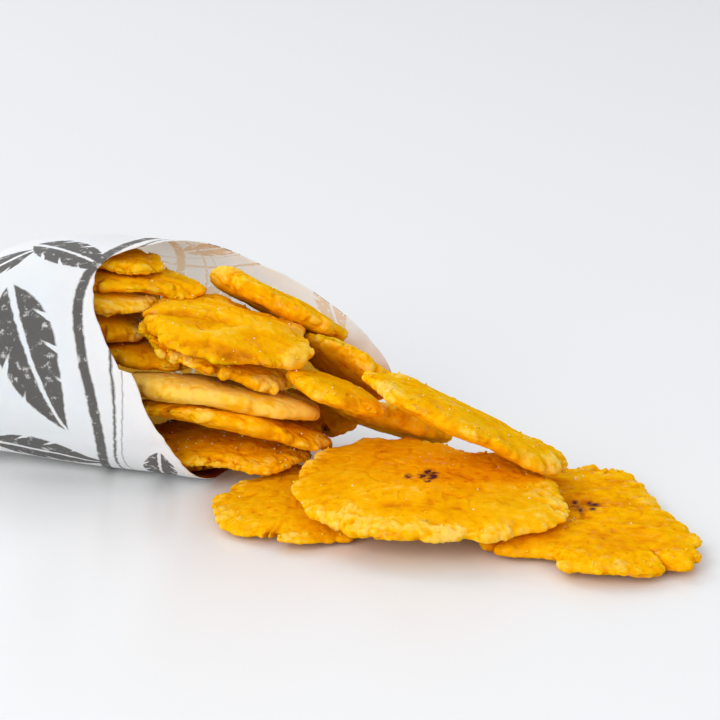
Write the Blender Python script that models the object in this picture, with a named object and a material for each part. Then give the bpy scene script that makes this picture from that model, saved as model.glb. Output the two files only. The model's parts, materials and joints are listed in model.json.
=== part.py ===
"""Tostones spilling out of a paper bag that lies on its side.

Flattened, twice fried slices of green plantain slide out of the slanted mouth of a plain paper bag
on to the table. Each tostone is one solid and so is the bag.

Units are metres, angles are degrees, +Z is up and z = 0 is the table. The serving is laid out in its
own working frame and then moved so that the middle of its footprint is the origin.
Run with: blender --background --python part.py
"""
import math

import bpy
import numpy as np
from mathutils import Euler, Matrix, Vector
from mathutils.bvhtree import BVHTree

MM = 0.001

# ---- paper bag ------------------------------------------------------------------------------
BAG_ORIGIN = (0.0, 0.0388)      # a point of the bag's centre line on the table
BAG_YAW = -19.0                 # heading of the mouth, turned from +X
BAG_TAIL = -0.172               # along the centre line, where the bottom fold is
BAG_WIDTH = 0.086               # across the filled bag near its mouth
BAG_HEIGHT = 0.080
TAIL_WIDTH = 0.106              # the bag flattens and widens towards its bottom fold
TAIL_HEIGHT = 0.005
TAIL_LIFT = 0.030               # height of the bottom fold's middle above the table
FULL_FROM = -0.085              # the bag is full from here to its mouth
FULLNESS = (2.6, 0.62)          # powers p, q of its height (1 - t^p)^q, t = 0 here and 1 at the fold
WIDEN_POWER = 2                 # powers of t by which it widens and its middle sinks
SINK_POWER = 3
PAPER = 0.0008                  # wall of the solid bag
FOLD_LAYERS = 3                 # walls' thickness left at the bottom fold
FLAT_FOOT = 0.0012              # how far the round belly is pressed flat on the table
SQUARENESS = 2.25               # 2 is an ellipse; more is squarer
BAG_AROUND = 44                 # facets round the bag
BAG_ALONG = 13                  # facets from the bottom fold to the mouth

# The mouth is cut on the slant. Angle round the bag (0 back, 90 top, 180 front, 270 bottom)
# against the place of the rim along the centre line, in millimetres.
MOUTH_RIM = [(-15, -2), (15, -23), (45, -50), (90, -74), (115, -85), (145, -80),
             (172, -68), (210, -55), (240, -50), (270, -46), (305, -34), (330, -16)]
LAP_ANGLE = 172.0               # the outer layer of paper starts here and stands out at the rim
LAP_RISE = 1.5                  # degrees from there to where it stands out in full
LAP_STEP = 0.0042
LAP_FADE = 90.0                 # degrees over which it then fades out, down to the bottom

# ---- tostones -------------------------------------------------------------------------------
GAP = 0.0003                    # clearance left where two pieces touch
SEARCH = 0.0005                 # step by which a clear height is looked for
NUDGE = 0.0002                  # finer step where two edges meet
DOWN = Vector((0, 0, -1))
AROUND = 30                     # facets round a tostone
WAVES = range(2, 10)            # waves round an outline
WAVE_SIZES = (0.3, 1.0)         # range of their seeded sizes
WAVE_HEIGHT = 0.055             # share of the radius at size 1 and raggedness 1
WAVE_FALL = 0.8                 # power by which finer waves are lower
EDGE_POWER = 3.2                # roundness of the rim's section
PROFILE = (68, 38, 13, -13, -38, -68)   # degrees round the rim's section, one ring each
RELIEF = 0.0005                 # height of the shallow dents
DENT_SEED = 500                 # added to a tostone's seed for its dents
SHARP = 40.0                    # degrees between facets past which an edge is drawn sharp

# In the order they come to rest, from the bottom up. name: centre x, y and the height to start from;
# half widths; thickness; roll (right end down), pitch (back edge up), spin; raggedness and squareness
# of the outline; bend; bites, which are broken sides, or lobes if negative: direction, depth as a share
# of the radius, and width in radians. Lengths in millimetres.
TOSTONES = {
    "tostone_01": dict(at=(-17, 10, 4.5), half=(32, 32), thick=6, roll=0, pitch=0,
                       spin=0, rag=1.0, square=2.0, bend=0, bites=()),
    "tostone_02": dict(at=(72, -4.5, 4.5), half=(37, 47), thick=8, roll=0, pitch=0,
                       spin=-8, rag=1.0, square=2.0, bend=0,
                       bites=((30, 0.31, 0.6), (-34, -0.11, 0.3), (-116, 0.26, 0.28))),
    "tostone_03": dict(at=(22.5, 3, 14), half=(43.5, 39), thick=8.5, roll=0, pitch=3,
                       spin=0, rag=0.6, square=2.3, bend=0,
                       bites=((66, 0.32, 0.4), (12, 0.12, 0.35), (-38, -0.13, 0.35), (128, -0.08, 0.35))),
    "tostone_04": dict(at=(-63, 52, 8), half=(20, 12.5), thick=7.5, roll=3, pitch=0,
                       spin=0, rag=1.0, square=2.0, bend=0, bites=()),
    "tostone_05": dict(at=(-46, 44, 11), half=(29, 18), thick=5, roll=5, pitch=0,
                       spin=0, rag=1.0, square=2.4, bend=0, bites=()),
    "tostone_06": dict(at=(-18, 72, 14), half=(17, 10), thick=6, roll=8, pitch=24,
                       spin=0, rag=0.8, square=2.0, bend=0, bites=()),
    "tostone_07": dict(at=(-42.5, 40, 22), half=(34, 17), thick=7.5, roll=13, pitch=-12,
                       spin=0, rag=0.8, square=2.6, bend=-3, bites=()),
    "tostone_08": dict(at=(-46.5, 41, 31), half=(34, 19), thick=8.5, roll=10, pitch=-11,
                       spin=0, rag=0.6, square=2.6, bend=-1.5, bites=()),
    "tostone_09": dict(at=(10, 54, 19), half=(22, 18), thick=8, roll=18, pitch=-14,
                       spin=0, rag=1.0, square=2.0, bend=0, bites=()),
    "tostone_10": dict(at=(-7.5, 33, 34), half=(17, 18), thick=7, roll=20, pitch=-8,
                       spin=0, rag=1.0, square=2.0, bend=0, bites=()),
    "tostone_11": dict(at=(-74, 58, 42), half=(22, 22), thick=7, roll=8, pitch=-4,
                       spin=0, rag=0.8, square=2.0, bend=0, bites=()),
    "tostone_12": dict(at=(-90, 62, 54), half=(15, 20), thick=8.5, roll=14, pitch=0,
                       spin=0, rag=0.8, square=2.0, bend=0, bites=()),
    "tostone_13": dict(at=(-48.5, 46, 44), half=(27.5, 21), thick=6, roll=20, pitch=4,
                       spin=0, rag=1.0, square=2.2, bend=0, bites=()),
    "tostone_14": dict(at=(-44, 44, 53), half=(29.5, 23), thick=7, roll=12, pitch=9,
                       spin=0, rag=0.9, square=2.2, bend=0, bites=((55, 0.18, 0.55),)),
    "tostone_15": dict(at=(-92, 60, 61), half=(19, 20), thick=6.5, roll=3, pitch=0,
                       spin=0, rag=1.0, square=2.0, bend=0, bites=()),
    "tostone_16": dict(at=(-81, 61.5, 62), half=(26, 14.5), thick=5, roll=8, pitch=3,
                       spin=0, rag=1.0, square=2.0, bend=-1.5, bites=()),
    "tostone_17": dict(at=(-83.5, 64, 70), half=(17, 11.5), thick=4.5, roll=9, pitch=4,
                       spin=0, rag=1.0, square=2.0, bend=-1, bites=()),
    "tostone_18": dict(at=(-4, 63, 33), half=(20, 18), thick=7.5, roll=36, pitch=-32,
                       spin=0, rag=1.0, square=2.0, bend=0, bites=()),
    "tostone_19": dict(at=(-30, 69, 57), half=(24, 18), thick=8.5, roll=27, pitch=-18,
                       spin=0, rag=1.0, square=2.0, bend=0, bites=()),
    "tostone_20": dict(at=(35, 15, 27), half=(36, 23), thick=8, roll=25, pitch=-7,
                       spin=0, rag=1.0, square=2.0, bend=0, bites=()),
}


def superellipse(angle, power):
    """Unit point of a superellipse at this angle, or at each of an array of angles."""
    c, s = np.cos(angle), np.sin(angle)
    return np.sign(c) * np.abs(c) ** (2 / power), np.sign(s) * np.abs(s) ** (2 / power)


def outline(theta, seed, rag, bites):
    """Radius factor of an uneven round outline: seeded waves, lower ones larger, and broken sides."""
    rng = np.random.RandomState(seed)
    radius = np.ones_like(theta)
    for towards, depth, width in bites:
        away = (theta - math.radians(towards) + math.pi) % (2 * math.pi) - math.pi
        radius -= depth * np.exp(-(away / width) ** 2)
    for waves in WAVES:
        size, phase = rng.uniform(*WAVE_SIZES), rng.uniform(0, 2 * math.pi)
        radius += rag * WAVE_HEIGHT * size / waves ** WAVE_FALL * np.cos(waves * theta + phase)
    return radius


def dents(theta, rho, seed):
    """Shallow unevenness of a face, from -1 to 1, the same value at the middle for every theta."""
    rng = np.random.RandomState(seed + DENT_SEED)
    height = np.zeros_like(theta)
    for waves in (1, 2, 3):
        phase = rng.uniform(0, 2 * math.pi)
        height += np.cos(waves * theta + phase) * rho ** waves / 2
    return height


def tostone_mesh(name, spec, seed):
    """One closed uneven disc: rings run from the upper pole over the rim to the lower pole."""
    theta = np.linspace(0, 2 * math.pi, AROUND, endpoint=False)
    radius = outline(theta, seed, spec["rag"], spec["bites"])
    half_x, half_y = (value * MM for value in spec["half"])
    half_z = spec["thick"] * MM / 2
    points = []
    for level in (90, *PROFILE, -90):
        rho, up = superellipse(math.radians(level), EDGE_POWER)
        count = 1 if abs(level) == 90 else AROUND
        across, along = superellipse(theta, spec["square"])
        x = rho * half_x * radius * across
        y = rho * half_y * radius * along
        z = up * half_z + RELIEF * dents(theta, np.full(AROUND, rho), seed + (up < 0))
        z = z + spec["bend"] * MM * (x / half_x) ** 2
        points += [Vector(p) for p in zip(x[:count], y[:count], z[:count])]
    first, last = 1, len(points) - 1 - AROUND
    faces = []
    for i in range(AROUND):
        j = (i + 1) % AROUND
        faces.append((0, first + i, first + j))
        for ring in range(first, last, AROUND):
            faces.append((ring + i, ring + AROUND + i, ring + AROUND + j, ring + j))
        faces.append((last + i, last + AROUND, last + j))
    mesh = bpy.data.meshes.new(name)
    mesh.from_pydata(points, [], faces)
    return mesh


def pose(spec):
    """Where a tostone lies: spun in its own plane, then tilted, then moved."""
    tilt = Euler((math.radians(spec["pitch"]), 0, 0)).to_matrix()
    roll = Euler((0, math.radians(spec["roll"]), 0)).to_matrix()
    spin = Euler((0, 0, math.radians(spec["spin"]))).to_matrix()
    place = Vector(spec["at"]) * MM
    return Matrix.Translation(place) @ (roll @ tilt @ spin).to_4x4()


def in_world(piece):
    """The piece's points in the world and a tree of its faces for ray casts and overlap tests."""
    points = [piece.matrix_basis @ vertex.co for vertex in piece.data.vertices]
    faces = [face.vertices[:] for face in piece.data.polygons]
    return points, BVHTree.FromPolygons(points, faces)


def free_fall(piece, resting):
    """How far a piece can sink straight down before a corner of one meets a face of the other.

    It may touch the table, but keeps a gap to every other piece.
    """
    points, tree = in_world(piece)
    falls = [point.z + GAP for point in points]
    for other_points, other_tree in resting:
        falls += [other_tree.ray_cast(point, DOWN)[3] for point in points]
        falls += [tree.ray_cast(point, -DOWN)[3] for point in other_points]
    return min(fall for fall in falls if fall is not None)


def settle(piece, resting):
    """Moves a piece up or down until it is clear of what already rests, then lowers it on to that."""
    def shift(by):
        piece.matrix_basis = Matrix.Translation((0, 0, by)) @ piece.matrix_basis

    def clashes():
        tree = in_world(piece)[1]
        return any(tree.overlap(other) for _, other in resting)

    tries = 0
    while clashes():
        tries += 1
        shift(tries * SEARCH if tries % 2 else -tries * SEARCH)
    shift(GAP - free_fall(piece, resting))
    if clashes():
        while clashes():
            shift(NUDGE)
        shift(NUDGE)


def mouth_rim(angle):
    """Place of the rim along the centre line at an angle round the bag, in metres."""
    knots = [a for a, _ in MOUTH_RIM]
    places = [u for _, u in MOUTH_RIM]
    angle = (angle - knots[0]) % 360 + knots[0]
    for i, start in enumerate(knots):
        end = knots[i + 1] if i + 1 < len(knots) else knots[0] + 360
        if start <= angle <= end:
            share = (angle - start) / (end - start)
            before, here = places[i - 1], places[i]
            after, beyond = places[(i + 1) % len(knots)], places[(i + 2) % len(knots)]
            smooth = (2 * here + (after - before) * share
                      + (2 * before - 5 * here + 4 * after - beyond) * share ** 2
                      + (3 * here - before - 3 * after + beyond) * share ** 3) / 2
            break
    past_lap = (angle - LAP_ANGLE) / LAP_FADE
    fade = 1 - past_lap if 0 < past_lap < 1 else 0
    return smooth * MM + LAP_STEP * fade


def bag_point(along, angle, inset):
    """Point of the bag's wall, inset from its outer face."""
    towards_tail = min(max((FULL_FROM - along) / (FULL_FROM - BAG_TAIL), 0), 1)
    fullness = (1 - towards_tail ** FULLNESS[0]) ** FULLNESS[1]
    height = TAIL_HEIGHT + (BAG_HEIGHT - TAIL_HEIGHT) * fullness
    width = BAG_WIDTH + (TAIL_WIDTH - BAG_WIDTH) * towards_tail ** WIDEN_POWER
    middle = BAG_HEIGHT / 2 + (TAIL_LIFT - BAG_HEIGHT / 2) * towards_tail ** SINK_POWER
    across, up = superellipse(math.radians(angle), SQUARENESS)
    side = (width / 2 - inset) * across
    z = max(middle + (height / 2 - inset) * up - FLAT_FOOT, inset)
    yaw = math.radians(BAG_YAW)
    return Vector((BAG_ORIGIN[0] + along * math.cos(yaw) - side * math.sin(yaw),
                   BAG_ORIGIN[1] + along * math.sin(yaw) + side * math.cos(yaw), z))


def bag_mesh(name):
    """Outer and inner skins of the bag, joined round the slanted mouth and closed at the tail."""
    angles = [360 * i / BAG_AROUND for i in range(BAG_AROUND)]
    angles = sorted({*angles, LAP_ANGLE + LAP_RISE})
    around = len(angles)
    shares = [i / BAG_ALONG for i in range(BAG_ALONG + 1)]
    rows = []
    for inset in (0, PAPER):
        start = BAG_TAIL + inset * FOLD_LAYERS
        for share in reversed(shares) if inset else shares:
            rows.append([bag_point(start + (mouth_rim(a) - start) * share, a, inset) for a in angles])
    points = [p for row in rows for p in row]
    faces = [tuple(reversed(range(around)))]
    for row in range(len(rows) - 1):
        for i in range(around):
            j = (i + 1) % around
            a, b = row * around, (row + 1) * around
            faces.append((a + i, a + j, b + j, b + i))
    faces.append(tuple(range((len(rows) - 1) * around, len(rows) * around)))
    mesh = bpy.data.meshes.new(name)
    mesh.from_pydata(points, [], faces)
    return mesh


def material(name, colour, roughness):
    """A Principled surface of one colour."""
    made = bpy.data.materials.new(name)
    made.use_nodes = True
    surface = made.node_tree.nodes["Principled BSDF"]
    surface.inputs["Base Color"].default_value = (*colour, 1)
    surface.inputs["Roughness"].default_value = roughness
    return made


def add(name, mesh, surface, matrix, parent):
    """Links a mesh as one named piece under the serving's empty."""
    mesh.materials.append(surface)
    mesh.shade_smooth()
    mesh.set_sharp_from_angle(angle=math.radians(SHARP))
    piece = bpy.data.objects.new(name, mesh)
    piece.parent = parent
    piece.matrix_basis = matrix
    bpy.context.scene.collection.objects.link(piece)
    return piece


def main():
    """Builds the bag and the tostones."""
    for old in list(bpy.data.objects):
        bpy.data.objects.remove(old)
    serving = bpy.data.objects.new("serving", None)
    bpy.context.scene.collection.objects.link(serving)
    fried = material("fried_plantain", (0.80, 0.42, 0.03), 0.4)
    paper = material("bag_paper", (0.86, 0.86, 0.84), 0.7)
    bag = add("paper_bag", bag_mesh("paper_bag"), paper, Matrix.Identity(4), serving)
    resting = [in_world(bag)]
    for seed, (name, spec) in enumerate(TOSTONES.items(), 1):
        piece = add(name, tostone_mesh(name, spec, seed), fried, pose(spec), serving)
        settle(piece, resting)
        resting.append(in_world(piece))
    corners = np.array([point for points, _ in resting for point in points])
    middle = (corners.min(axis=0) + corners.max(axis=0)) / 2
    serving.location = (-middle[0], -middle[1], 0)


main()
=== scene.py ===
import json
import math

import bmesh
import bpy
import numpy as np
from mathutils import Euler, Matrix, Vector

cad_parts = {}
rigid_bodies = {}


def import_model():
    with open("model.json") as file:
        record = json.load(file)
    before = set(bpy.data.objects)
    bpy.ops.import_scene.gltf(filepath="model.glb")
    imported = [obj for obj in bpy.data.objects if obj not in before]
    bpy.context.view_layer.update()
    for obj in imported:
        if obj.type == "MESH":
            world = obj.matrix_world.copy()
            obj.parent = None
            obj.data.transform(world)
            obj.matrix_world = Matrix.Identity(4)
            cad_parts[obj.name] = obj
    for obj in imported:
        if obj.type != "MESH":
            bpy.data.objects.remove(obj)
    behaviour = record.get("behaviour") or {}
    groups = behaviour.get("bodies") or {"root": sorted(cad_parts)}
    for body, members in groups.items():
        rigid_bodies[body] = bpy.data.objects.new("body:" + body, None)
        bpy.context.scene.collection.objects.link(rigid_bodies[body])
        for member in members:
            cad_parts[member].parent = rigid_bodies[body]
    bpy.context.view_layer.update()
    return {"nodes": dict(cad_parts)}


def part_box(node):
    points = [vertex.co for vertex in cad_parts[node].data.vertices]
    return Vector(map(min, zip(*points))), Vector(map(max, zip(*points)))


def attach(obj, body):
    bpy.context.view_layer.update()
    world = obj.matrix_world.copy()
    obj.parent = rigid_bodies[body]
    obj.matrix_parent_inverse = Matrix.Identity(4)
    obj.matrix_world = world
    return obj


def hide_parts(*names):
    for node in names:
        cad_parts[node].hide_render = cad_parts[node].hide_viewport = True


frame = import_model()
mm = 0.001
print("frame loaded:", len(frame["nodes"]), "solids")


# Shared surface maths: every point array here has shape (..., 3) and is in millimetres

def hashed(ix, iy, iz, seed):
    # one steady value from 0 to 1 for each corner of a lattice
    value = np.sin(ix * 127.1 + iy * 311.7 + iz * 74.7 + seed * 19.19) * 43758.5453
    return value - np.floor(value)


def softNoise(points, size, seed):
    # from -1 to 1: values at the corners of cells of this size, blended by smooth steps
    place = points / size
    cell = np.floor(place)
    part = place - cell
    part = part * part * (3 - 2 * part)
    total = np.zeros(points.shape[:-1])
    for corner in np.ndindex(2, 2, 2):
        weight = np.prod(np.where(corner, part, 1 - part), axis=-1)
        total += weight * hashed(*np.moveaxis(cell + corner, -1, 0), seed)
    return total * 2 - 1


def layeredNoise(points, size, seed, layers=3):
    # soft noise at this size and at half, a quarter... of it, each half as high
    return sum(softNoise(points, size / 2 ** i, seed + i * 7) / 2 ** i for i in range(layers))


def grainNoise(points, size, seed):
    # rounded grains, 1 on top and 0 between them: the nearest of one random point in each cell
    place = points / size
    cell = np.floor(place)
    nearest = np.full(points.shape[:-1], 9.0)
    for step in np.ndindex(3, 3, 3):
        other = cell + np.array(step) - 1
        corner = np.moveaxis(other, -1, 0)
        jitter = np.stack([hashed(*corner, seed + k * 3.7) for k in range(3)], axis=-1)
        away = np.linalg.norm(other + jitter - place, axis=-1)
        nearest = np.minimum(nearest, away)
    return np.sqrt(np.clip(1 - (nearest / 0.75) ** 2, 0, 1))


def smoothStep(low, high, value):
    share = np.clip((value - low) / (high - low), 0, 1)
    return share * share * (3 - 2 * share)


def superellipse(angle, power):
    c, s = np.cos(angle), np.sin(angle)
    return np.sign(c) * np.abs(c) ** (2 / power), np.sign(s) * np.abs(s) ** (2 / power)


def gridNormals(points):
    # the cross product of the two directions of a grid whose first direction closes on itself
    around = np.roll(points, -1, axis=1) - np.roll(points, 1, axis=1)
    down = np.gradient(points, axis=0)
    normal = np.cross(down, around)
    return normal / (np.linalg.norm(normal, axis=-1, keepdims=True) + 1e-9)


def turned(points, roll, pitch, spin):
    # spun in its own plane, then tilted back edge up, then rolled right end down
    tilt = Euler((math.radians(pitch), 0, 0)).to_matrix()
    lean = Euler((0, math.radians(roll), 0)).to_matrix()
    turn = Euler((0, 0, math.radians(spin))).to_matrix()
    return points @ np.array(lean @ tilt @ turn).T


def closedGrid(grid):
    # points and triangles of a grid: its rows close on themselves, its first and last are one point
    rows, around = grid.shape[:2]
    last = rows - 1
    i = np.arange(around)
    j = (i + 1) % around
    ring = 1 + np.arange(last - 2)[:, None] * around
    end = 1 + (last - 2) * around
    faces = np.concatenate([
        np.stack([0 * i, 1 + i, 1 + j], -1),
        np.stack([ring + i, ring + around + i, ring + around + j], -1).reshape(-1, 3),
        np.stack([ring + i, ring + around + j, ring + j], -1).reshape(-1, 3),
        np.stack([end + i, 0 * i + end + around, end + j], -1)])
    return pointsOf(grid), faces


def pointsOf(grid):
    # the grid as one list, with one point for the first row and one for the last
    return np.concatenate([grid[:1, 0], grid[1:-1].reshape(-1, *grid.shape[2:]), grid[-1:, 0]])


def meshObject(name, points, faces, material, values=None):
    # points in millimetres; values holds one number a point for each named attribute
    mesh = bpy.data.meshes.new(name)
    mesh.vertices.add(len(points))
    mesh.vertices.foreach_set("co", (points * mm).astype(np.float32).ravel())
    sides = faces.shape[1]
    mesh.loops.add(faces.size)
    mesh.loops.foreach_set("vertex_index", faces.ravel().astype(np.int32))
    mesh.polygons.add(len(faces))
    mesh.polygons.foreach_set("loop_start", np.arange(0, faces.size, sides, dtype=np.int32))
    mesh.update(calc_edges=True)
    for key, numbers in (values or {}).items():
        layer = mesh.attributes.new(key, "FLOAT", "POINT")
        layer.data.foreach_set("value", numbers.astype(np.float32).ravel())
    mesh.materials.append(material)
    mesh.shade_smooth()
    piece = bpy.data.objects.new(name, mesh)
    bpy.context.scene.collection.objects.link(piece)
    return piece


def addNode(tree, kind, settings=None, **inputs):
    # a node with its settings, and with a value or another node's output put into each named input
    node = tree.nodes.new(kind)
    for key, value in (settings or {}).items():
        setattr(node, key, value)
    for key, value in inputs.items():
        byNumber = key[0] == "i" and key[1:].isdigit()
        socket = node.inputs[int(key[1:]) if byNumber else key.replace("_", " ")]
        if isinstance(value, bpy.types.NodeSocket):
            tree.links.new(value, socket)
        else:
            socket.default_value = value
    return node


def maths(tree, operation, first, second=0.0, third=0.0, clamp=False):
    return addNode(tree, "ShaderNodeMath", {"operation": operation, "use_clamp": clamp},
                   i0=first, i1=second, i2=third).outputs[0]


def vectorMaths(tree, operation, **inputs):
    return addNode(tree, "ShaderNodeVectorMath", {"operation": operation}, **inputs).outputs[0]


def ramp(tree, factor, stops):
    # a colour ramp through (position, colour) stops
    node = addNode(tree, "ShaderNodeValToRGB", Fac=factor)
    while len(node.color_ramp.elements) < len(stops):
        node.color_ramp.elements.new(0.5)
    for element, (position, colour) in zip(node.color_ramp.elements, stops):
        element.position = position
        element.color = (*colour, 1)
    return node.outputs["Color"]


def blended(tree, factor, first, second, mode="MIX"):
    # sockets 6 and 7 of the mix node are its two colours, and output 2 is the mixed colour
    return addNode(tree, "ShaderNodeMix", {"data_type": "RGBA", "blend_type": mode},
                   i0=factor, i6=first, i7=second).outputs[2]


def noise(tree, place, scale, detail, roughness=0.5):
    return addNode(tree, "ShaderNodeTexNoise", Vector=place, Scale=scale, Detail=detail,
                   Roughness=roughness).outputs[0]


def spread(tree, value, low, high, bottom=0.0, top=1.0):
    # low becomes bottom and high becomes top, and what is beyond them stays there
    return addNode(tree, "ShaderNodeMapRange", Value=value, From_Min=low, From_Max=high,
                   To_Min=bottom, To_Max=top).outputs[0]


def numberOf(tree, name):
    return addNode(tree, "ShaderNodeAttribute", {"attribute_name": name}).outputs["Fac"]


def newMaterial(name, **sockets):
    # a Principled surface; sockets are the values that are the same all over it
    material = bpy.data.materials.new(name)
    material.use_nodes = True
    shader = material.node_tree.nodes["Principled BSDF"]
    for key, value in sockets.items():
        shader.inputs[key.replace("_", " ")].default_value = value
    return material, material.node_tree, shader


friedLook = {
    "shadow": (0.52, 0.150, 0.002),     # down in the cracks
    "orange": (0.76, 0.265, 0.002),
    "gold": (0.89, 0.395, 0.001),
    "yellow": (0.95, 0.475, 0.005),
    "pale": (0.97, 0.61, 0.10),         # on top of crumbs and ridges: their own paler crust, with painted highlight
    "scorch": (0.50, 0.155, 0.010),
    "seed": (0.085, 0.022, 0.020),
}


def friedMaterial():
    look = friedLook
    material, tree, shader = newMaterial(
        "friedPlantain", Subsurface_Weight=0.45, Subsurface_Scale=0.0030, Coat_Roughness=0.14,
        Specular_IOR_Level=0.0)
    shader.inputs["Subsurface Radius"].default_value = (1.0, 0.40, 0.05)
    place = addNode(tree, "ShaderNodeTexCoord").outputs["Object"]
    broad = noise(tree, place, 75, 3)
    fine = noise(tree, place, 300, 4)
    relief, rim = numberOf(tree, "relief"), numberOf(tree, "rim")
    tone, seeds = numberOf(tree, "tone"), numberOf(tree, "seeds")
    # painted shade and highlight, partly the crust's own colour: lower relief darkens the colour down in
    # cracks and hollows, higher relief makes it paler on crumbs and ridges
    level = maths(tree, "MULTIPLY_ADD", relief, 0.30, 0.50)
    level = maths(tree, "MULTIPLY_ADD", maths(tree, "SUBTRACT", broad, 0.5), 0.55, level)
    level = maths(tree, "MULTIPLY_ADD", maths(tree, "SUBTRACT", fine, 0.5), 0.45, level)
    level = maths(tree, "MULTIPLY_ADD", tone, 0.22, level)
    level = maths(tree, "MULTIPLY_ADD", rim, 0.05, level, clamp=True)
    colour = ramp(tree, level, [(0.0, look["shadow"]), (0.26, look["orange"]), (0.50, look["gold"]),
                                (0.72, look["yellow"]), (0.97, look["pale"])])
    scorched = spread(tree, noise(tree, place, 170, 2), 0.62, 0.74)
    colour = blended(tree, maths(tree, "MULTIPLY", scorched, 0.32), colour, (*look["scorch"], 1))
    colour = blended(tree, seeds, colour, (*look["seed"], 1))
    tree.links.new(colour, shader.inputs["Base Color"])
    oily = spread(tree, noise(tree, place, 260, 2), 0.56, 0.68, 0.0, 0.30)
    oily = maths(tree, "MULTIPLY", oily, maths(tree, "MULTIPLY_ADD", rim, 1.2, 0.7))
    tree.links.new(oily, shader.inputs["Coat Weight"])
    rough = spread(tree, fine, 0.3, 0.7, 0.26, 0.50)
    tree.links.new(rough, shader.inputs["Roughness"])
    grain = noise(tree, place, 1300, 3)
    bump = addNode(tree, "ShaderNodeBump", Height=grain, Strength=0.45, Distance=0.0003)
    tree.links.new(bump.outputs[0], shader.inputs["Normal"])
    return material


fried = friedMaterial()


# The tostones, in millimetres and degrees: half widths, thickness, and tilt as roll, pitch and spin.
# Then how uneven and square the outline is, the bend, and broken sides as (towards, deep, width). Then
# the looks: ridges along the slice, crumbs, torn edge and splits round the rim, how much thinner the rim
# is, tone from deep orange below 0 to pale above it, and seeds as (x, y, length, width, strength) with
# the brown halo round them. Shift is from the solid's middle. Ten of them are fuller, turned or shifted
# beside their solids, so that they lie closer together.

edgePower = 2.6                 # roundness of the rim's section
tostones = {
    "tostone_01": dict(half=(32, 32), thick=6, tilt=(0, 0, 0), torn=1.2, tone=-0.1, fine=1),
    "tostone_02": dict(half=(37, 47), thick=8, tilt=(0, 0, -8),
                       bites=((30, 0.31, 0.6), (-34, -0.11, 0.3), (-116, 0.26, 0.28)), torn=1.3,
                       splits=3, taper=0.35, tone=-0.45, core=(-1, 1.5, 5, 4, 1.0), halo=1.5, fine=1),
    "tostone_03": dict(half=(43.5, 39.5), thick=8.5, tilt=(0, 3, 0), rag=0.6, square=2.3,
                       bites=((66, 0.32, 0.4), (12, 0.12, 0.35), (-38, -0.13, 0.35), (128, -0.08, 0.35)),
                       ridges=0.22, torn=1.1, splits=1, tone=0.15, core=(-3, -2, 4.5, 6, 1.3),
                       halo=0.45, fine=1),
    "tostone_04": dict(half=(20, 12.5), thick=7.5, tilt=(3, 0, 0), tone=-1.0),
    "tostone_05": dict(half=(31, 20.5), thick=5.4, tilt=(5, 3, 0), square=2.5, crumbs=1.3, torn=1.3,
                       tone=-0.4, fine=1, shift=(-1.5, 2.5, 0.5)),
    "tostone_06": dict(half=(17.5, 10.5), thick=6.5, tilt=(8, 24, 0), rag=0.8, taper=0, tone=-0.3,
                       shift=(0.5, -1.2, -0.9)),
    "tostone_07": dict(half=(34, 17), thick=7.8, tilt=(13, -12, 0), rag=0.8, square=2.6, bend=-3,
                       ridges=0.2, crumbs=0.9, taper=0.1, tone=-0.1, shift=(0, 0, 0.3)),
    "tostone_08": dict(half=(34, 19), thick=8.5, tilt=(10, -11, 0), rag=0.6, square=2.6, bend=-1.5,
                       ridges=0.15, crumbs=0.35, torn=0.4, splits=0, taper=-0.1, tone=1.7,
                       shift=(0, 0, -0.3)),
    "tostone_09": dict(half=(23, 18), thick=8.3, tilt=(18, -24, 0), taper=0, tone=-0.4,
                       shift=(1, 0, -0.6)),
    "tostone_10": dict(half=(17, 18), thick=7.0, tilt=(20, -8, 0), crumbs=0.6, taper=0.1, tone=-0.1,
                       shift=(0, 0, -0.3)),
    "tostone_11": dict(half=(22, 22), thick=7, tilt=(8, -4, 0), rag=0.8, tone=-0.5),
    "tostone_12": dict(half=(16, 20), thick=8.5, tilt=(14, 0, 0), rag=0.8, tone=0.5,
                       shift=(1, -2.5, 0)),
    "tostone_13": dict(half=(27.5, 21), thick=6, tilt=(20, 4, 0), square=2.2, crumbs=1.2, torn=1.4,
                       tone=-0.2, fine=1),
    "tostone_14": dict(half=(28, 25.5), thick=7.0, tilt=(12, 9, 0), rag=0.9, square=2.2,
                       bites=((55, 0.18, 0.55),), ridges=1.5, crumbs=0.8, tone=-0.25, fine=1,
                       shift=(-1.0, 0.6, 0.6)),
    "tostone_15": dict(half=(21, 20), thick=6.5, tilt=(3, 0, 0), crumbs=1.4, tone=0.7,
                       shift=(2.5, 0, -0.3)),
    "tostone_16": dict(half=(26, 14.5), thick=5, tilt=(8, 3, 0), bend=-1.5, ridges=0.6, tone=-0.4),
    "tostone_17": dict(half=(17, 11.5), thick=4.5, tilt=(9, 4, 0), bend=-1, ridges=0.5, tone=-0.5),
    "tostone_18": dict(half=(20, 18), thick=7.5, tilt=(36, -32, 0)),
    "tostone_19": dict(half=(26.5, 19), thick=8.8, tilt=(27, -18, 0), torn=0.9, taper=0.1, tone=-0.3,
                       shift=(2.2, 1.0, -1.3)),
    "tostone_20": dict(half=(36, 23), thick=8, tilt=(25, -7, 0), ridges=0.35, crumbs=1.1, torn=0.9,
                       splits=0, tone=0.05, fine=1),
}
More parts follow.
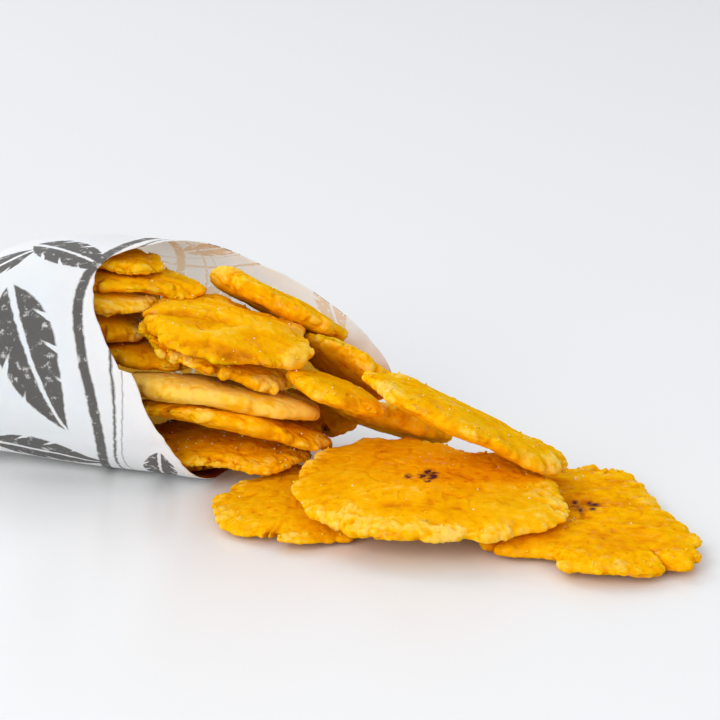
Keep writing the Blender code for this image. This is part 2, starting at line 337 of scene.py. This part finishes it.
# what a tostone has where its row says nothing else; a fine one has a denser mesh
usualLooks = dict(rag=1.0, square=2.0, bend=0, bites=(), ridges=0.3, crumbs=1.0, torn=1.0, splits=2,
                  rimFrom=0.70, flex=0.35, taper=0.25, tone=0.0, core=None, halo=0.6, fine=0,
                  shift=(0, 0, 0))
rimBand = 0.24                  # share of the radius over which the rim grows rough
faceReach = 0.86                # share of the radius that the two faces cover, inside the rim
raggedSteps = ((1.2, 11), (1.3, 5), (0.7, 2))             # height and size of the torn edge's bumps
crumbSteps = ((0.95, 5.2), (0.65, 2.5), (0.32, 1.2))      # height and size of the crumbs
deepestRelief = 0.6             # height in millimetres that counts as the full relief
overTable = 0.02                # least height above the table
solidAround = 30                # facets and section of the solid, which give its middle
solidSection = (90, 68, 38, 13, -13, -38, -68, -90)


def outlineOf(theta, seed, rag, bites):
    # radius factor: 1, less bell-shaped broken sides, plus eight seeded waves, the lower ones larger
    values = np.random.RandomState(seed)
    radius = np.ones_like(theta)
    for towards, deep, width in bites:
        away = (theta - math.radians(towards) + math.pi) % (2 * math.pi) - math.pi
        radius = radius - deep * np.exp(-(away / width) ** 2)
    for waves in range(2, 10):
        size, phase = values.uniform(0.3, 1.0), values.uniform(0, 2 * math.pi)
        radius += rag * 0.055 * size / waves ** 0.8 * np.cos(waves * theta + phase)
    return radius


def splitsOf(theta, spec, seed):
    # how far each split opens, 0 to 1, round the rim, and how deep it goes in millimetres
    values = np.random.RandomState(seed + 70)
    size = sum(spec["half"]) / 2
    opened, depth = np.zeros_like(theta), np.zeros_like(theta)
    for i in range(spec["splits"]):
        at = values.uniform(-math.pi, math.pi)
        width = values.uniform(0.5, 1.3)
        deep = values.uniform(1.2, 4.2)
        away = ((theta - at + math.pi) % (2 * math.pi) - math.pi) * size
        gap = np.exp(-(away / width) ** 2)
        opened = np.maximum(opened, gap)
        depth = np.maximum(depth, gap * deep)
    return opened, depth


def sliceShape(spec, seed, theta, levels, ragged=0.0):
    # x and y are the outline times the profile's radius, z is the profile's height with shallow dents,
    # thinner towards the rim, which waves up and down
    rho, up = superellipse(levels[:, None], edgePower)
    across, along = superellipse(theta, spec["square"])
    radius = outlineOf(theta, seed, spec["rag"], spec["bites"])
    outer = smoothStep(0.45, 1.0, rho) * ragged
    x = rho * (spec["half"][0] * radius + outer) * across
    y = rho * (spec["half"][1] * radius + outer) * along
    dents = 0
    for side, step in ((up >= 0, 0), (up < 0, 1)):
        values = np.random.RandomState(seed + 500 + step)
        wave = sum(np.cos(n * theta + values.uniform(0, 2 * math.pi)) * rho ** n / 2 for n in (1, 2, 3))
        dents = dents + side * wave * 0.5
    values = np.random.RandomState(seed + 600)
    waves = sum(np.cos(n * theta + values.uniform(0, 2 * math.pi)) for n in (3, 4, 5, 7))
    flex = waves * spec["flex"] * rho ** 4
    thick = spec["thick"] * (1 - spec["taper"] * rho ** 4)
    z = up * thick / 2 + dents + flex + spec["bend"] * (x / spec["half"][0]) ** 2
    return np.stack([x, y, z * np.ones_like(x)], axis=-1)


def profileLevels(face, rim, back):
    # angles down the section: even steps of radius over each face, even angles round the rim between
    top = np.arccos(np.linspace(0, faceReach, face) ** (edgePower / 2))
    under = -np.arccos(np.linspace(faceReach, 0, back) ** (edgePower / 2))
    return np.concatenate([top, np.linspace(top[-1], under[0], rim + 2)[1:-1], under])


def seedMask(points, core, seed):
    # dark seeds in the upper face: nine small blots scattered round the core
    x, y, length, width, strength = core
    values = np.random.RandomState(seed + 90)
    mask = np.zeros(points.shape[:-1])
    for i in range(9):
        at = np.array([x + values.uniform(-length, length), y + values.uniform(-width, width)])
        away = np.hypot(points[..., 0] - at[0], (points[..., 1] - at[1]) * 0.6)
        mask = np.maximum(mask, np.exp(-(away / values.uniform(0.9, 2.1)) ** 2))
    ragged = 0.75 + 0.5 * softNoise(points, 1.1, seed + 91)
    return np.clip(mask * ragged * 1.5 - 0.25, 0, 1) * (points[..., 2] > 0) * strength


def sliceObject(name, seed):
    # the slice's shape, then along its normals: swell, ridges, crumbs, pits, grain, splits and cracks
    spec = {**usualLooks, **tostones[name]}
    around = 460 if spec["fine"] else 300
    levels = profileLevels(*((66, 30, 22) if spec["fine"] else (40, 24, 16)))
    theta = np.linspace(0, 2 * math.pi, around, endpoint=False)
    across, along = spec["half"]
    rim = np.stack([across * np.cos(theta), along * np.sin(theta), theta * 0 + seed * 40.0], -1)
    opened, depth = splitsOf(theta, spec, seed)
    ragged = sum(high * softNoise(rim, size, seed + size) for high, size in raggedSteps)
    ragged = ragged * spec["torn"] - 0.3 - depth
    base = sliceShape(spec, seed, theta, levels, ragged)
    rho = superellipse(levels[:, None], edgePower)[0]
    place = base + seed * 53.0                       # every slice reads its own stretch of noise
    rimStart = spec["rimFrom"]
    rough = smoothStep(rimStart, rimStart + rimBand, rho + 0.14 * softNoise(place, 9, seed + 20))
    warp = np.stack([softNoise(place, 8, seed + k) for k in (3, 31, 37)], axis=-1)
    warped = place + warp * (1.8, 1.8, 1.2)
    fibre = softNoise(warped * (0.32, 1, 1), 6.5, seed + 4)
    swell = 0.55 * softNoise(place, 13, seed + 5) + 0.32 * softNoise(place, 5.5, seed + 6)
    ridges = spec["ridges"] * (0.9 - 1.8 * np.abs(fibre)) * (0.65 + 0.5 * softNoise(place, 12, seed + 8))
    patchy = smoothStep(-0.5, 0.45, softNoise(place, 10, seed + 13))
    grains = sum(high * grainNoise(warped, size, seed + size) for high, size in crumbSteps) - 0.85
    crumbs = spec["crumbs"] * rough * (0.3 + 0.7 * patchy) * grains
    pits = -0.3 * smoothStep(0.42, 0.75, softNoise(place, 2.4, seed + 10)) * (1 - 0.5 * rough)
    fineGrain = 0.10 * layeredNoise(place, 2.2, seed + 11, 3)
    cracks = -0.28 * smoothStep(0.12, 0.0, np.abs(softNoise(warped, 8, seed + 15))) * patchy
    groove = -0.9 * opened * smoothStep(0.68, 0.98, rho)
    height = swell + ridges + crumbs + pits + fineGrain + groove + cracks
    normal = gridNormals(base)
    normal[0], normal[-1] = (0, 0, 1), (0, 0, -1)
    points = base + normal * height[..., None]
    detail = ridges + crumbs + pits + groove + cracks + fineGrain * 2
    relief = np.clip(detail / deepestRelief, -1.2, 1.0)
    tone = spec["tone"] + 0.45 * softNoise(place, 15, seed + 12) + 0.15 * rough * patchy
    if spec["core"]:
        away = np.hypot(base[..., 0] - spec["core"][0], 1.3 * (base[..., 1] - spec["core"][1]))
        tone = tone - spec["halo"] * np.exp(-(away / (spec["core"][2] * 1.8)) ** 2)
    down = turned(gridNormals(points), *spec["tilt"])[..., 2]
    tone = tone - 0.5 * smoothStep(0.35, -0.6, down)     # painted shade: faces that point down get a browner, darker tone
    seeds = seedMask(base, spec["core"], seed) if spec["core"] else np.zeros_like(relief)
    values = {"relief": relief, "rim": rough * np.ones_like(relief), "tone": tone, "seeds": seeds}
    low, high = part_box(name)
    facets = np.linspace(0, 2 * math.pi, solidAround, endpoint=False)
    coarse = turned(sliceShape(spec, seed, facets, np.radians(solidSection)), *spec["tilt"])
    middle = np.array((low + high) / 2) / mm - (coarse.min(axis=(0, 1)) + coarse.max(axis=(0, 1))) / 2
    points = turned(points, *spec["tilt"]) + middle + spec["shift"]
    points[..., 2] = np.maximum(points[..., 2], overTable)
    points, faces = closedGrid(points)
    numbers = {key: pointsOf(v) for key, v in values.items()}
    piece = meshObject(name + "_fine", points, faces, fried, numbers)
    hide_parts(name)
    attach(piece, "root")


for index, sliceName in enumerate(tostones, 1):
    sliceObject(sliceName, index)
print("tostones made:", len(tostones))


# Salt and crumbs: joined meshes of real grains. Sizes are in millimetres, counts are for each tostone.
salt = dict(size=(0.22, 0.46), colour=(0.93, 0.84, 0.62), usual=5, many={
    "tostone_02": 12, "tostone_03": 18, "tostone_05": 60, "tostone_14": 14, "tostone_20": 16})
loose = dict(size=(0.22, 0.62), usual=10, many={
    "tostone_01": 26, "tostone_02": 50, "tostone_03": 60, "tostone_05": 45, "tostone_13": 30,
    "tostone_14": 34, "tostone_15": 24, "tostone_20": 50})


def grainPlaces(piece, count, values, rimOnly):
    # random points on the upward faces, each face as likely as it is large, with the faces' normals
    mesh = piece.data
    points = np.empty(len(mesh.vertices) * 3, np.float32)
    mesh.vertices.foreach_get("co", points)
    corners = np.empty(len(mesh.polygons) * 3, np.int32)
    mesh.polygons.foreach_get("vertices", corners)
    corners = corners.reshape(-1, 3)
    a, b, c = (points.reshape(-1, 3)[corners[:, k]] / mm for k in range(3))
    normal = np.cross(b - a, c - a)
    area = np.linalg.norm(normal, axis=1) + 1e-12
    normal = normal / area[:, None]
    weight = area * smoothStep(0.0, 0.5, normal[:, 2])
    if rimOnly:
        rim = np.empty(len(mesh.vertices), np.float32)
        mesh.attributes["rim"].data.foreach_get("value", rim)
        weight = weight * (0.04 + rim[corners[:, 0]])
    chosen = values.choice(len(weight), count, p=weight / weight.sum())
    share = values.dirichlet((1, 1, 1), count)
    place = sum(share[:, k, None] * corner[chosen] for k, corner in enumerate((a, b, c)))
    return place, normal[chosen]


def scattered(name, spec, shape, shapeFaces, material, seed, sink, rimOnly):
    # every grain is the shape times its own size, turned at random, partly sunk into the surface
    values = np.random.RandomState(seed)
    allPoints = []
    for sliceName in tostones:
        count = spec["many"].get(sliceName, spec["usual"])
        place, normal = grainPlaces(bpy.data.objects[sliceName + "_fine"], count, values, rimOnly)
        size = values.uniform(*spec["size"], (count, 1, 1))
        turn = np.linalg.qr(values.normal(size=(count, 3, 3)))[0]
        turn = turn * np.sign(np.linalg.det(turn))[:, None, None]
        lumpy = 1 + 0.4 * values.uniform(-1, 1, (count, len(shape), 1)) * rimOnly
        grain = np.einsum("pj,cij->cpi", shape, turn) * lumpy * size
        allPoints.append((grain + (place + normal * size[:, 0] * sink)[:, None, :]).reshape(-1, 3))
    points = np.concatenate(allPoints)
    step = np.arange(len(points) // len(shape))[:, None, None] * len(shape)
    piece = meshObject(name, points, (shapeFaces[None] + step).reshape(-1, shapeFaces.shape[1]), material)
    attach(piece, "root")
    return piece


def saltAndCrumbs():
    cube = np.array([(x, y, z) for x in (-0.5, 0.5) for y in (-0.5, 0.5) for z in (-0.5, 0.5)])
    cubeFaces = np.array([(0, 1, 3, 2), (4, 6, 7, 5), (0, 4, 5, 1),
                          (2, 3, 7, 6), (0, 2, 6, 4), (1, 5, 7, 3)])
    crystal, _, shader = newMaterial("saltCrystal", Roughness=0.3, Subsurface_Weight=0.4,
                                     Subsurface_Scale=0.0005)
    shader.inputs["Base Color"].default_value = (*salt["colour"], 1)
    grains = scattered("salt", salt, cube, cubeFaces, crystal, 41, 0.20, 0)
    grains.data.shade_flat()
    ball = bpy.data.meshes.new("ball")
    lump = bmesh.new()
    bmesh.ops.create_icosphere(lump, subdivisions=1, radius=1)
    lump.to_mesh(ball)
    lump.free()
    shape = np.array([tuple(v.co) for v in ball.vertices])
    shapeFaces = np.array([tuple(f.vertices) for f in ball.polygons])
    bpy.data.meshes.remove(ball)
    crumbs = scattered("crumbs", loose, shape, shapeFaces, fried, 43, 0.10, 1)
    # relief 0.6 gives the crumbs the paler colour of raised crust, partly painted highlight
    for key, level in (("relief", 0.6), ("rim", 1.0), ("tone", 0.2)):
        layer = crumbs.data.attributes.new(key, "FLOAT", "POINT")
        layer.data.foreach_set("value", np.full(len(crumbs.data.vertices), level, np.float32))


saltAndCrumbs()
print("salt and crumbs made")


# The paper bag, in millimetres and degrees, on the line from the bottom fold to the mouth. Its sizes are
# the solid's, but the sheet is thinner and the rim lies up to 4 nearer the fold at its upper back.
# fullness, widen and sink are the powers by which its height, width and middle change on the way
# to the bottom fold.
bag = dict(heading=-19.0, tail=-172.0, width=86.0, height=80.0, tailWidth=106.0,
           tailHeight=5.0, tailLift=30.0, fullFrom=-85.0, foot=1.2, square=2.25, sheet=0.25,
           fullness=(2.6, 0.62), widen=2, sink=3, lapAngle=172.0, lapStep=4.2, lapFade=90,
           around=320, along=120)
mouthRim = [(-15, -2), (15, -25), (45, -54), (90, -75), (115, -85), (145, -80),
            (172, -68), (210, -55), (240, -50), (270, -46), (305, -34), (330, -16)]
sheetRound = 2.66               # decimetres of paper round the bag


def rimPlace(angle):
    # a smooth closed curve through the rim's points, plus the step where the outer layer starts
    knots = np.array([a for a, _ in mouthRim], float)
    places = np.array([p for _, p in mouthRim], float)
    turn = (angle - knots[0]) % 360 + knots[0]
    i = np.searchsorted(knots, turn, side="right") - 1
    count = len(knots)
    start, end = knots[i], np.append(knots, knots[0] + 360)[i + 1]
    t = (turn - start) / (end - start)
    before, here, after, beyond = (places[(i + k) % count] for k in (-1, 0, 1, 2))
    smooth = (2 * here + (after - before) * t + (2 * before - 5 * here + 4 * after - beyond) * t ** 2
              + (3 * here - before - 3 * after + beyond) * t ** 3) / 2
    lapped = (turn > bag["lapAngle"]) & (turn < 270)
    step = bag["lapStep"] * (1 - (turn - bag["lapAngle"]) / bag["lapFade"]).clip(0)
    return smooth + np.where(lapped, step, 0)


def bagShape(along, angle):
    # a superellipse carried along a straight line; it flattens and widens towards the bottom fold
    toTail = np.clip((bag["fullFrom"] - along) / (bag["fullFrom"] - bag["tail"]), 0, 1)
    fullness = (1 - toTail ** bag["fullness"][0]) ** bag["fullness"][1]
    height = bag["tailHeight"] + (bag["height"] - bag["tailHeight"]) * fullness
    width = bag["width"] + (bag["tailWidth"] - bag["width"]) * toTail ** bag["widen"]
    middle = bag["height"] / 2 + (bag["tailLift"] - bag["height"] / 2) * toTail ** bag["sink"]
    across, up = superellipse(np.radians(angle), bag["square"])
    side = width / 2 * across
    z = np.maximum(middle + height / 2 * up - bag["foot"], 0)
    yaw = math.radians(bag["heading"])
    x = along * math.cos(yaw) - side * math.sin(yaw)
    y = along * math.sin(yaw) + side * math.cos(yaw)
    return np.stack([x, y, z], axis=-1)


def creases(points, along, angle):
    # how far the paper stands out: broad waves, sharp crumples, two long folds in front, puckers at
    # the tail
    waves = 0.55 * softNoise(points, 34, 3) - 0.25
    large = 0.5 - np.abs(softNoise(points, 17, 5))
    small = 0.5 - np.abs(softNoise(points, 8, 6))
    crumples = 0.45 * large + 0.14 * small
    folds = 0.9 * np.exp(-np.abs(angle - bag["lapAngle"]) / 5) - 0.5 * np.exp(-np.abs(angle - 207) / 7)
    toTail = np.clip((bag["fullFrom"] - along) / (bag["fullFrom"] - bag["tail"]), 0, 1)
    pleats = np.stack([along / 55, angle / 9, 0 * angle], -1)
    puckers = 1.6 * softNoise(pleats, 1, 8) * toTail ** 2 * (1 - toTail ** 8)
    return waves + crumples + folds * (1 - 0.7 * toTail) + puckers


def capOf(skin):
    # the first ring drawn in to one point, its middle
    return skin[:1].mean(axis=1, keepdims=True) + 0 * skin[:1]


def bagObject():
    # the outer skin from the tail to the rim, then the inner skin back to the tail, one sheet apart
    angle = np.linspace(-90, 270, bag["around"], endpoint=False)
    share = np.linspace(0, 1, bag["along"])[:, None]
    rim = rimPlace(angle) + 0.35 * softNoise(np.stack([angle / 4, 0 * angle, 0 * angle], -1), 1, 4)
    along = bag["tail"] + (rim - bag["tail"]) * share
    angle = angle + 0 * along
    flat = bagShape(along, angle)
    outward = -gridNormals(flat)
    outer = flat + outward * creases(flat, along, angle)[..., None]
    inner = outer - outward * bag["sheet"]
    outer[..., 2] = np.maximum(outer[..., 2], 0)
    inner[..., 2] = np.maximum(inner[..., 2], bag["sheet"])
    grid = np.concatenate([capOf(outer), outer, inner[::-1], capOf(inner)])
    alongAll = np.concatenate([along[:1], along, along[::-1], along[:1]])
    angleAll = np.concatenate([angle[:1], angle, angle, angle[:1]])
    low, high = (np.array(corner)[:2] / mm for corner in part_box("paper_bag"))
    grid[..., :2] += (low + high) / 2 - (flat.min(axis=(0, 1)) + flat.max(axis=(0, 1)))[:2] / 2
    points, faces = closedGrid(grid)
    piece = meshObject("paper_bag_fine", points, faces, paperOutside)
    piece.data.materials.append(paperInside)
    # the map runs in decimetres along the bag and round it, and its seam is underneath
    column = (faces - 1) % bag["around"]
    wraps = (column.max(axis=1) - column.min(axis=1) > 1)[:, None] & (column == 0)
    across = pointsOf(angleAll)[faces] + 360 * wraps
    sheet = np.stack([pointsOf(alongAll)[faces] / 100, across / 360 * sheetRound], -1)
    piece.data.uv_layers.new(name="sheet").data.foreach_set("uv", sheet.astype(np.float32).ravel())
    innerStart = 1 + bag["along"] * bag["around"]
    inside = (faces.min(axis=1) >= innerStart).astype(np.int32)
    piece.data.polygons.foreach_set("material_index", inside)
    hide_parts("paper_bag")
    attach(piece, "root")


# The print: leaves with a pale midrib and slits, and dry-brush strokes along and round the bag, in
# charcoal. A leaf has its place along and round the bag in decimetres, heading in degrees, length and
# width in decimetres; a stroke has its place, swing, waves and half width.
printInk = (0.060, 0.057, 0.054)
leaves = [(-1.02, 1.24, 66, 0.60, 0.24), (-0.98, 0.80, 24, 0.44, 0.17), (-1.02, 1.66, 14, 0.46, 0.20),
          (-0.62, 1.72, 104, 0.34, 0.13), (-0.64, 1.12, 98, 0.30, 0.11), (-1.30, 0.90, 140, 0.44, 0.17),
          (-1.52, 1.24, 112, 0.50, 0.18), (-1.40, 1.70, 60, 0.46, 0.17), (-1.06, 0.48, 10, 0.46, 0.16),
          (-1.44, 0.62, 74, 0.46, 0.16), (-0.60, 0.42, 24, 0.42, 0.14), (-0.26, 0.14, 104, 0.34, 0.12),
          (-0.72, 0.06, 54, 0.40, 0.14), (-1.14, 0.22, 150, 0.44, 0.15), (-1.34, -0.28, 40, 0.46, 0.16),
          (-0.66, -0.32, 160, 0.42, 0.15)]
strokesAlong = [(0.30, 0.06, 5.6, 0.010), (0.35, 0.06, 5.6, 0.005)]
strokesRound = [(-0.83, 0.045, 6.2, 0.022), (-0.75, 0.040, 6.2, 0.009), (-0.71, 0.036, 6.2, 0.005)]


def leafGroup():
    # a leaf along X from -1 to 1: its half width falls to nothing at both ends, and slits and a midrib
    # are cut out
    tree = bpy.data.node_groups.new("leafShape", "ShaderNodeTree")
    tree.interface.new_socket("Place", in_out="INPUT", socket_type="NodeSocketVector")
    tree.interface.new_socket("Ink", in_out="OUTPUT", socket_type="NodeSocketFloat")
    place = tree.nodes.new("NodeGroupInput").outputs[0]
    split = addNode(tree, "ShaderNodeSeparateXYZ", Vector=place)
    x, y = split.outputs[0], maths(tree, "ABSOLUTE", split.outputs[1])
    taper = maths(tree, "SUBTRACT", 1.0, maths(tree, "MULTIPLY", x, x), clamp=True)
    lean = maths(tree, "MULTIPLY_ADD", x, -0.28, 0.92)
    width = maths(tree, "MULTIPLY", taper, lean)
    body = maths(tree, "MULTIPLY", maths(tree, "SUBTRACT", width, y), 16.0, clamp=True)
    ribWidth = maths(tree, "MULTIPLY_ADD", x, -0.03, 0.05)
    rib = maths(tree, "MULTIPLY", maths(tree, "SUBTRACT", y, ribWidth), 22.0, clamp=True)
    wave = maths(tree, "SINE", maths(tree, "MULTIPLY_ADD", y, -7.0, maths(tree, "MULTIPLY", x, 15.0)))
    deep = maths(tree, "MULTIPLY_ADD", y, 0.9, -1.02)
    between = maths(tree, "SUBTRACT", maths(tree, "SUBTRACT", 0.55, wave), deep)
    slit = maths(tree, "MULTIPLY", between, 7.0, clamp=True)
    ink = maths(tree, "MULTIPLY", maths(tree, "MULTIPLY", body, rib), slit)
    out = tree.nodes.new("NodeGroupOutput")
    tree.links.new(ink, out.inputs[0])
    return tree


def printGroup():
    # all leaves and strokes on the sheet, with rough edges and dry streaks; 1 where there is ink
    leafShape = leafGroup()
    tree = bpy.data.node_groups.new("brushPrint", "ShaderNodeTree")
    tree.interface.new_socket("Place", in_out="INPUT", socket_type="NodeSocketVector")
    tree.interface.new_socket("Ink", in_out="OUTPUT", socket_type="NodeSocketFloat")
    place = tree.nodes.new("NodeGroupInput").outputs[0]
    jitter = addNode(tree, "ShaderNodeTexNoise", Vector=place, Scale=38, Detail=4).outputs["Color"]
    jitter = vectorMaths(tree, "SUBTRACT", i0=jitter, i1=(0.5, 0.5, 0.5))
    jitter = vectorMaths(tree, "SCALE", i0=jitter, Scale=0.012)
    place = vectorMaths(tree, "ADD", i0=place, i1=jitter)
    ink = 0.0
    for along, around, heading, length, width in leaves:
        moved = addNode(tree, "ShaderNodeMapping", {"vector_type": "TEXTURE"}, Vector=place,
                        Location=(along, around, 0), Rotation=(0, 0, math.radians(heading)),
                        Scale=(length / 2, width / 2, 1)).outputs[0]
        leaf = addNode(tree, "ShaderNodeGroup", {"node_tree": leafShape}, Place=moved).outputs[0]
        ink = maths(tree, "MAXIMUM", leaf, ink)
    split = addNode(tree, "ShaderNodeSeparateXYZ", Vector=place)
    for here, across, strokes in ((0, 1, strokesAlong), (1, 0, strokesRound)):
        for middle, swing, waves, width in strokes:
            bent = maths(tree, "SINE", maths(tree, "MULTIPLY_ADD", split.outputs[here], waves, middle * 9))
            line = maths(tree, "MULTIPLY_ADD", bent, swing, middle)
            away = maths(tree, "ABSOLUTE", maths(tree, "SUBTRACT", split.outputs[across], line))
            stroke = maths(tree, "MULTIPLY", maths(tree, "SUBTRACT", width, away), 130.0, clamp=True)
            ink = maths(tree, "MAXIMUM", stroke, ink)
    dry = spread(tree, noise(tree, place, 26, 5, 0.7), 0.34, 0.44, 0.35)
    out = tree.nodes.new("NodeGroupOutput")
    tree.links.new(maths(tree, "MULTIPLY", ink, dry, clamp=True), out.inputs[0])
    return tree


def paperMaterial(name, colour, ink, strength, brushPrint, through, oilStainAndShade=None):
    # matt paper with the print on it, or showing through it, and oil stain with painted shade low down
    material, tree, shader = newMaterial(name, Subsurface_Weight=1.0, Subsurface_Scale=through,
                                         Roughness=0.78, Specular_IOR_Level=0.1)
    shader.inputs["Subsurface Radius"].default_value = (1.0, 0.8, 0.6)
    sheet = addNode(tree, "ShaderNodeUVMap", {"uv_map": "sheet"}).outputs[0]
    place = addNode(tree, "ShaderNodeTexCoord").outputs["Object"]
    mask = addNode(tree, "ShaderNodeGroup", {"node_tree": brushPrint}, Place=sheet).outputs[0]
    base = ramp(tree, noise(tree, place, 60, 3), [(0.3, tuple(c * 0.95 for c in colour)), (0.7, colour)])
    if oilStainAndShade:
        split = addNode(tree, "ShaderNodeSeparateXYZ", Vector=place)
        height = split.outputs[2]
        height = maths(tree, "MULTIPLY_ADD", noise(tree, place, 45, 2), 0.024, height)
        height = maths(tree, "MULTIPLY_ADD", split.outputs[0], 0.2, height)
        # painted shade and oil stain: the paper turns deep brown low down inside the bag, where the gaps
        # between the slices lie
        soakedAndShaded = spread(tree, height, 0.062, 0.046)
        base = blended(tree, soakedAndShaded, base, (*oilStainAndShade, 1))
    inked = blended(tree, maths(tree, "MULTIPLY", mask, strength), base, (*ink, 1))
    tree.links.new(inked, shader.inputs["Base Color"])
    fibre = noise(tree, place, 900, 3)
    bump = addNode(tree, "ShaderNodeBump", Height=fibre, Strength=0.25, Distance=0.0002)
    tree.links.new(bump.outputs[0], shader.inputs["Normal"])
    return material


brush = printGroup()
paperOutside = paperMaterial("paperOutside", (0.84, 0.835, 0.82), printInk, 0.92, brush, 0.0009)
# painted light: the inside is brighter and pinker than the outside and its show-through print is brown,
# for warm light bounced from the slices and light through the sheet
paperInside = paperMaterial("paperInside", (0.96, 0.86, 0.87), (0.50, 0.21, 0.09), 0.8, brush,
                            0.0040, (0.30, 0.034, 0.003))
bagObject()
print("paper bag made")


floorLook = dict(size=6.0, colour=(0.86, 0.87, 0.88))
camera = dict(azimuth=0.0, elevation=17.0, distance=0.600, lens=95.0, aim=(0.03735, -0.04766, 0.0560))
lights = {   # place in metres, side of the square, power in watts, colour
    "back": ((-1.50, 1.50, 1.70), 1.4, 17.0, (1.0, 0.99, 0.98)),
    "front": ((-1.05, -1.70, 1.10), 1.5, 28.0, (1.0, 0.99, 0.97)),
}


def makeFloor():
    half = floorLook["size"] / 2 / mm
    corners = np.array([(-half, -half, 0), (half, -half, 0), (half, half, 0), (-half, half, 0)], float)
    material, _, shader = newMaterial("paleFloor", Roughness=0.30, Specular_IOR_Level=0.5)
    shader.inputs["Base Color"].default_value = (*floorLook["colour"], 1)
    floor = meshObject("floor", corners, np.array([[0, 1, 2, 3]]), material)


def makeLight(name, place, size, power, colour):
    lamp = bpy.data.lights.new(name, "AREA")
    lamp.size, lamp.energy, lamp.color = size, power, colour
    holder = bpy.data.objects.new(name, lamp)
    holder.location = place
    holder.rotation_euler = (-Vector(place)).to_track_quat("-Z", "Y").to_euler()
    bpy.context.scene.collection.objects.link(holder)


def makeCamera():
    turn, lift = math.radians(camera["azimuth"]), math.radians(camera["elevation"])
    back = Vector((math.sin(turn) * math.cos(lift), -math.cos(turn) * math.cos(lift), math.sin(lift)))
    view = bpy.data.objects.new("camera", bpy.data.cameras.new("camera"))
    view.data.lens = camera["lens"]
    view.data.sensor_width = 36
    view.data.clip_start = 0.01
    view.location = Vector(camera["aim"]) + back * camera["distance"]
    view.rotation_euler = (-back).to_track_quat("-Z", "Y").to_euler()
    bpy.context.scene.collection.objects.link(view)
    bpy.context.scene.camera = view


makeFloor()
for lampName, values in lights.items():
    makeLight(lampName, *values)
sky = bpy.data.worlds.new("studio")
sky.use_nodes = True
sky.node_tree.nodes["Background"].inputs["Color"].default_value = (0.96, 0.975, 1.0, 1)
sky.node_tree.nodes["Background"].inputs["Strength"].default_value = 0.74
bpy.context.scene.world = sky
bpy.context.scene.view_settings.view_transform = "Standard"
makeCamera()
print("stage, lights and camera made")
